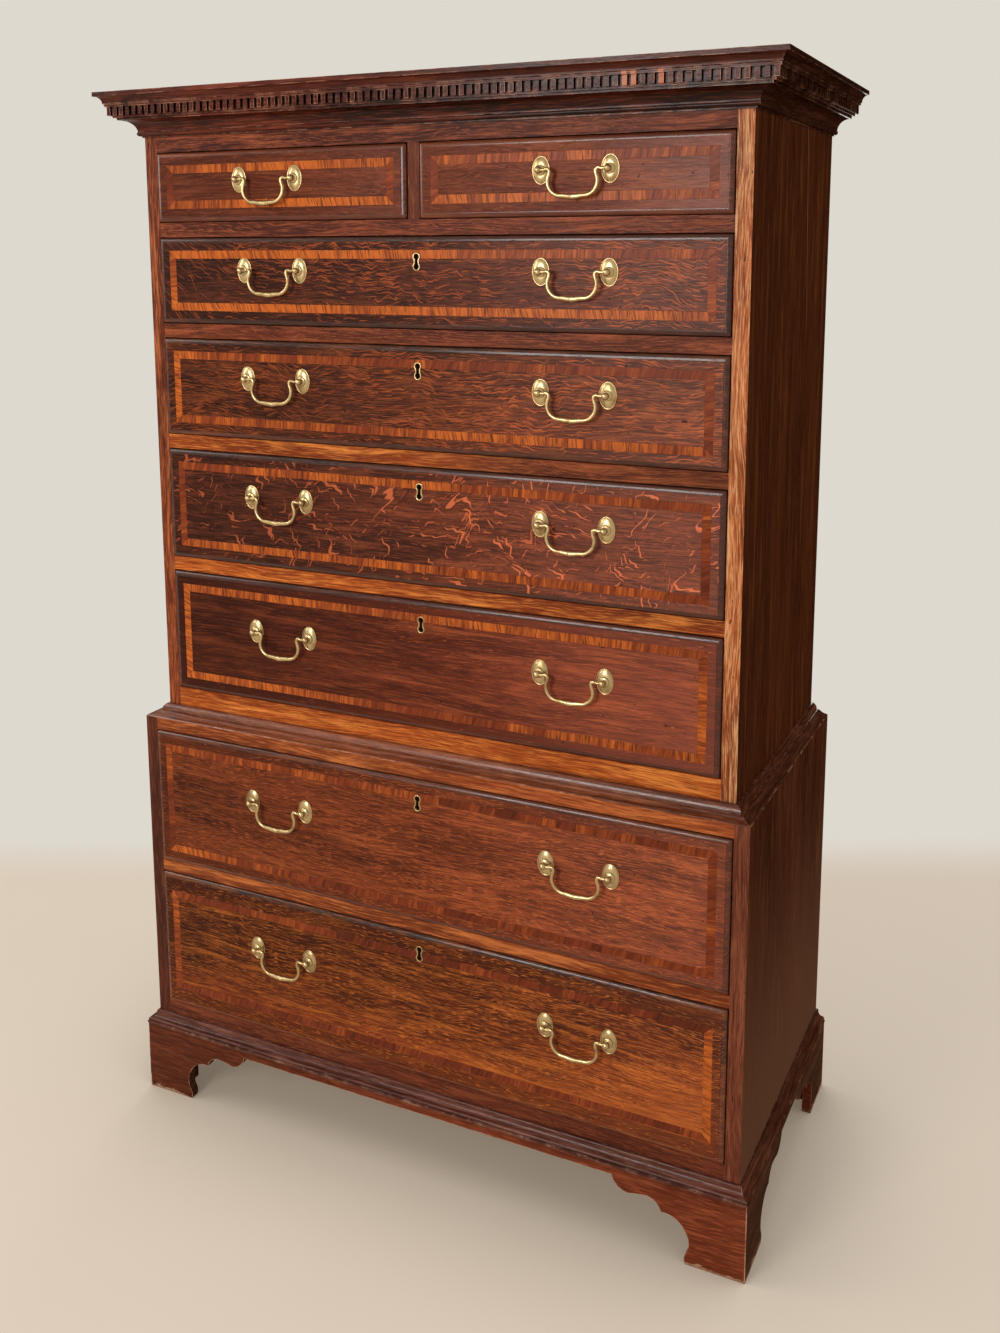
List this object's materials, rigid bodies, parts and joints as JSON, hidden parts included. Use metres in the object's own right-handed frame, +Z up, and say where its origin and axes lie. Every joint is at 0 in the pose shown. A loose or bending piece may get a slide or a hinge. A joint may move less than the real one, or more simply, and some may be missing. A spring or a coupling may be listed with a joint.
{
  "type": "chest on chest",
  "caption": "Two-part chest of drawers: an upper case of short and long drawers on a wider case of deep drawers, with bracket feet, dentil cornice and swan-neck bail handles.",
  "frame": {"origin": "middle of the base of the bounding box, on the floor", "axes": "+X to the right of someone facing the drawers, +Y to the back, +Z up"},
  "size_m": [1.156, 0.548, 1.795],
  "materials": {
    "side_oak": "dark waxed oak with fine upright grain",
    "rail_oak": "waxed orange-brown oak",
    "carcase_pine": "unfinished aged softwood",
    "moulding_oak": "dark waxed oak mouldings",
    "foot_oak": "dark reddish polished wood",
    "front_oak": "polished quarter-sawn oak with crossbanding",
    "drawer_lining_oak": "unfinished oak drawer linings",
    "brass": "antique brass, worn bright on the high spots"
  },
  "bodies": {
    "case": {"lower_left_side": "side_oak", "lower_right_side": "side_oak", "lower_boards": "carcase_pine", "lower_back_boards": "carcase_pine", "lower_rails": "rail_oak", "lower_runners": "carcase_pine", "base_moulding": "moulding_oak", "bracket_feet": "foot_oak", "waist_moulding": "moulding_oak", "upper_left_side": "side_oak", "upper_right_side": "side_oak", "upper_boards": "carcase_pine", "upper_back_boards": "carcase_pine", "upper_rails": "rail_oak", "upper_runners": "carcase_pine", "cornice": "moulding_oak"},
    "drawer_1_left": {"drawer_1_left_front": "front_oak", "drawer_1_left_box": "drawer_lining_oak", "drawer_1_left_brasses": "brass"},
    "drawer_1_left_bail": {"drawer_1_left_bail": "brass"},
    "drawer_1_right": {"drawer_1_right_front": "front_oak", "drawer_1_right_box": "drawer_lining_oak", "drawer_1_right_brasses": "brass"},
    "drawer_1_right_bail": {"drawer_1_right_bail": "brass"},
    "drawer_2": {"drawer_2_front": "front_oak", "drawer_2_box": "drawer_lining_oak", "drawer_2_brasses": "brass"},
    "drawer_2_left_bail": {"drawer_2_left_bail": "brass"},
    "drawer_2_right_bail": {"drawer_2_right_bail": "brass"},
    "drawer_2_lock_bolt": {"drawer_2_lock_bolt": "brass"},
    "drawer_3": {"drawer_3_front": "front_oak", "drawer_3_box": "drawer_lining_oak", "drawer_3_brasses": "brass"},
    "drawer_3_left_bail": {"drawer_3_left_bail": "brass"},
    "drawer_3_right_bail": {"drawer_3_right_bail": "brass"},
    "drawer_3_lock_bolt": {"drawer_3_lock_bolt": "brass"},
    "drawer_4": {"drawer_4_front": "front_oak", "drawer_4_box": "drawer_lining_oak", "drawer_4_brasses": "brass"},
    "drawer_4_left_bail": {"drawer_4_left_bail": "brass"},
    "drawer_4_right_bail": {"drawer_4_right_bail": "brass"},
    "drawer_4_lock_bolt": {"drawer_4_lock_bolt": "brass"},
    "drawer_5": {"drawer_5_front": "front_oak", "drawer_5_box": "drawer_lining_oak", "drawer_5_brasses": "brass"},
    "drawer_5_left_bail": {"drawer_5_left_bail": "brass"},
    "drawer_5_right_bail": {"drawer_5_right_bail": "brass"},
    "drawer_5_lock_bolt": {"drawer_5_lock_bolt": "brass"},
    "drawer_6": {"drawer_6_front": "front_oak", "drawer_6_box": "drawer_lining_oak", "drawer_6_brasses": "brass"},
    "drawer_6_left_bail": {"drawer_6_left_bail": "brass"},
    "drawer_6_right_bail": {"drawer_6_right_bail": "brass"},
    "drawer_6_lock_bolt": {"drawer_6_lock_bolt": "brass"},
    "drawer_7": {"drawer_7_front": "front_oak", "drawer_7_box": "drawer_lining_oak", "drawer_7_brasses": "brass"},
    "drawer_7_left_bail": {"drawer_7_left_bail": "brass"},
    "drawer_7_right_bail": {"drawer_7_right_bail": "brass"},
    "drawer_7_lock_bolt": {"drawer_7_lock_bolt": "brass"}
  },
  "joints": [
    {"name": "drawer_1_left_slide", "type": "slide", "parent": "case", "child": "drawer_1_left", "axis": [0, -1, 0], "range_m": [0, 0.32]},
    {"name": "drawer_1_left_bail_swing", "type": "hinge", "parent": "drawer_1_left", "child": "drawer_1_left_bail", "pos_m": [-0.272, -0.234, 1.6505], "axis": [-1, 0, 0], "range_deg": [-8, 150]},
    {"name": "drawer_1_right_slide", "type": "slide", "parent": "case", "child": "drawer_1_right", "axis": [0, -1, 0], "range_m": [0, 0.32]},
    {"name": "drawer_1_right_bail_swing", "type": "hinge", "parent": "drawer_1_right", "child": "drawer_1_right_bail", "pos_m": [0.262, -0.234, 1.6505], "axis": [-1, 0, 0], "range_deg": [-8, 150]},
    {"name": "drawer_2_slide", "type": "slide", "parent": "case", "child": "drawer_2", "axis": [0, -1, 0], "range_m": [0, 0.32]},
    {"name": "drawer_2_left_bail_swing", "type": "hinge", "parent": "drawer_2", "child": "drawer_2_left_bail", "pos_m": [-0.267, -0.234, 1.5055], "axis": [-1, 0, 0], "range_deg": [-8, 150]},
    {"name": "drawer_2_right_bail_swing", "type": "hinge", "parent": "drawer_2", "child": "drawer_2_right_bail", "pos_m": [0.262, -0.234, 1.5055], "axis": [-1, 0, 0], "range_deg": [-8, 150]},
    {"name": "drawer_2_lock_bolt_throw", "type": "slide", "parent": "drawer_2", "child": "drawer_2_lock_bolt", "axis": [0, 0, 1], "range_m": [0, 0.007]},
    {"name": "drawer_3_slide", "type": "slide", "parent": "case", "child": "drawer_3", "axis": [0, -1, 0], "range_m": [0, 0.32]},
    {"name": "drawer_3_left_bail_swing", "type": "hinge", "parent": "drawer_3", "child": "drawer_3_left_bail", "pos_m": [-0.267, -0.234, 1.3285], "axis": [-1, 0, 0], "range_deg": [-8, 150]},
    {"name": "drawer_3_right_bail_swing", "type": "hinge", "parent": "drawer_3", "child": "drawer_3_right_bail", "pos_m": [0.262, -0.234, 1.3285], "axis": [-1, 0, 0], "range_deg": [-8, 150]},
    {"name": "drawer_3_lock_bolt_throw", "type": "slide", "parent": "drawer_3", "child": "drawer_3_lock_bolt", "axis": [0, 0, 1], "range_m": [0, 0.007]},
    {"name": "drawer_4_slide", "type": "slide", "parent": "case", "child": "drawer_4", "axis": [0, -1, 0], "range_m": [0, 0.32]},
    {"name": "drawer_4_left_bail_swing", "type": "hinge", "parent": "drawer_4", "child": "drawer_4_left_bail", "pos_m": [-0.267, -0.234, 1.1295], "axis": [-1, 0, 0], "range_deg": [-8, 150]},
    {"name": "drawer_4_right_bail_swing", "type": "hinge", "parent": "drawer_4", "child": "drawer_4_right_bail", "pos_m": [0.262, -0.234, 1.1295], "axis": [-1, 0, 0], "range_deg": [-8, 150]},
    {"name": "drawer_4_lock_bolt_throw", "type": "slide", "parent": "drawer_4", "child": "drawer_4_lock_bolt", "axis": [0, 0, 1], "range_m": [0, 0.007]},
    {"name": "drawer_5_slide", "type": "slide", "parent": "case", "child": "drawer_5", "axis": [0, -1, 0], "range_m": [0, 0.32]},
    {"name": "drawer_5_left_bail_swing", "type": "hinge", "parent": "drawer_5", "child": "drawer_5_left_bail", "pos_m": [-0.267, -0.234, 0.897], "axis": [-1, 0, 0], "range_deg": [-8, 150]},
    {"name": "drawer_5_right_bail_swing", "type": "hinge", "parent": "drawer_5", "child": "drawer_5_right_bail", "pos_m": [0.262, -0.234, 0.897], "axis": [-1, 0, 0], "range_deg": [-8, 150]},
    {"name": "drawer_5_lock_bolt_throw", "type": "slide", "parent": "drawer_5", "child": "drawer_5_lock_bolt", "axis": [0, 0, 1], "range_m": [0, 0.007]},
    {"name": "drawer_6_slide", "type": "slide", "parent": "case", "child": "drawer_6", "axis": [0, -1, 0], "range_m": [0, 0.35]},
    {"name": "drawer_6_left_bail_swing", "type": "hinge", "parent": "drawer_6", "child": "drawer_6_left_bail", "pos_m": [-0.264, -0.264, 0.6025], "axis": [-1, 0, 0], "range_deg": [-8, 150]},
    {"name": "drawer_6_right_bail_swing", "type": "hinge", "parent": "drawer_6", "child": "drawer_6_right_bail", "pos_m": [0.286, -0.264, 0.6025], "axis": [-1, 0, 0], "range_deg": [-8, 150]},
    {"name": "drawer_6_lock_bolt_throw", "type": "slide", "parent": "drawer_6", "child": "drawer_6_lock_bolt", "axis": [0, 0, 1], "range_m": [0, 0.007]},
    {"name": "drawer_7_slide", "type": "slide", "parent": "case", "child": "drawer_7", "axis": [0, -1, 0], "range_m": [0, 0.35]},
    {"name": "drawer_7_left_bail_swing", "type": "hinge", "parent": "drawer_7", "child": "drawer_7_left_bail", "pos_m": [-0.264, -0.264, 0.3305], "axis": [-1, 0, 0], "range_deg": [-8, 150]},
    {"name": "drawer_7_right_bail_swing", "type": "hinge", "parent": "drawer_7", "child": "drawer_7_right_bail", "pos_m": [0.286, -0.264, 0.3305], "axis": [-1, 0, 0], "range_deg": [-8, 150]},
    {"name": "drawer_7_lock_bolt_throw", "type": "slide", "parent": "drawer_7", "child": "drawer_7_lock_bolt", "axis": [0, 0, 1], "range_m": [0, 0.007]}
  ]
}
